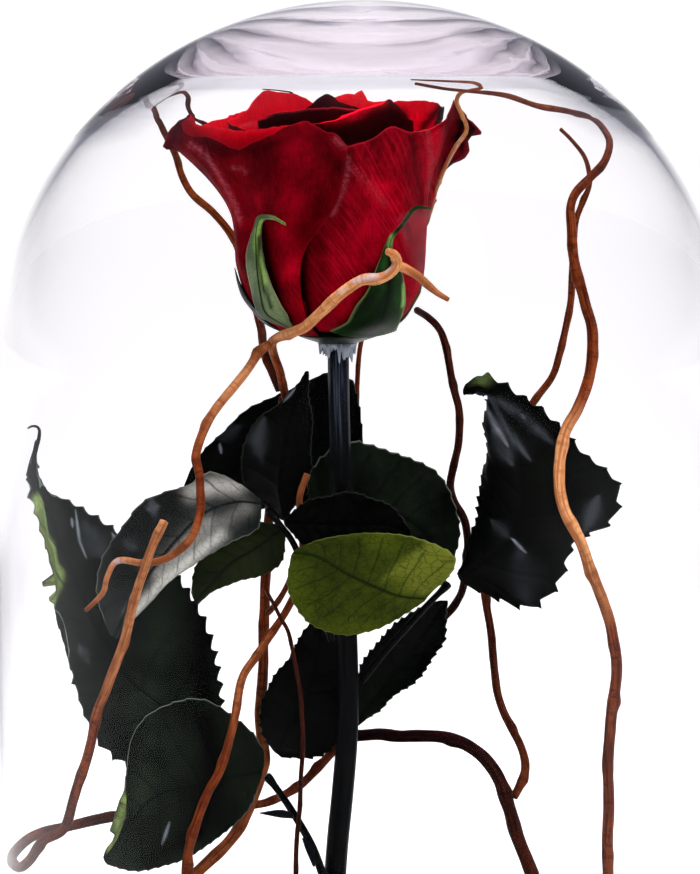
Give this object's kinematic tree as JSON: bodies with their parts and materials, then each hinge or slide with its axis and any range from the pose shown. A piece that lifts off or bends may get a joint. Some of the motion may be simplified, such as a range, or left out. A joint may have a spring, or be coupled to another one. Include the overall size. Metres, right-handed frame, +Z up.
{
  "type": "preserved rose in glass dome",
  "caption": "Preserved red rose with serrated leaves and curly willow twigs standing under a tall clear glass dome on a round wooden base, a tabletop ornament.",
  "frame": {"origin": "centre of the base's flat underside", "axes": "+Z up along the dome's axis; the side seen in the picture faces -Y, +X is to the right of it"},
  "size_m": [0.23, 0.23, 0.32],
  "materials": {
    "wood_base": "dark stained, satin",
    "dome_glass": "clear, smooth",
    "rose_stem": "dried green stem, semi-gloss",
    "rose_petal": "velvety, matte",
    "sepal_green": "dried leaf, matte",
    "leaf_dark": "dried leaf, semi-gloss",
    "leaf_silver": "dried leaf underside, satin",
    "leaf_lit": "thin leaf, lets light through",
    "willow_bark": "smooth reddish bark"
  },
  "bodies": {
    "root": {"base": "wood_base", "glass_dome": "dome_glass", "leaf_across": "leaf_dark", "leaf_behind_right": "leaf_dark", "leaf_behind_top": "leaf_dark", "leaf_far_left": "leaf_dark", "leaf_lit": "leaf_lit", "leaf_low_left": "leaf_dark", "leaf_low_middle": "leaf_dark", "leaf_low_right": "leaf_dark", "leaf_olive": "leaf_lit", "leaf_right": "leaf_dark", "leaf_silver": "leaf_silver", "leaf_upright": "leaf_dark", "petal_01": "rose_petal", "petal_02": "rose_petal", "petal_03": "rose_petal", "petal_04": "rose_petal", "petal_05": "rose_petal", "petal_06": "rose_petal", "petal_07": "rose_petal", "petal_08": "rose_petal", "petal_09": "rose_petal", "petal_10": "rose_petal", "petal_11": "rose_petal", "petal_12": "rose_petal", "petal_13": "rose_petal", "petal_14": "rose_petal", "receptacle": "sepal_green", "rose_stem": "rose_stem", "sepal_back": "sepal_green", "sepal_front_left": "sepal_green", "sepal_front_right": "sepal_green", "sepal_left": "sepal_green", "sepal_right": "sepal_green", "stalk_left": "rose_stem", "stalk_low": "rose_stem", "stalk_right": "rose_stem", "willow_cross": "willow_bark", "willow_front_left": "willow_bark", "willow_front_right": "willow_bark", "willow_front_trunk": "willow_bark", "willow_left_top": "willow_bark", "willow_left_trunk": "willow_bark", "willow_loop": "willow_bark", "willow_middle": "willow_bark", "willow_right": "willow_bark", "willow_right_back": "willow_bark", "willow_right_trunk": "willow_bark", "willow_side": "willow_bark", "willow_spur": "willow_bark", "willow_thin_back": "willow_bark", "willow_thin_front": "willow_bark"}
  },
  "joints": []
}
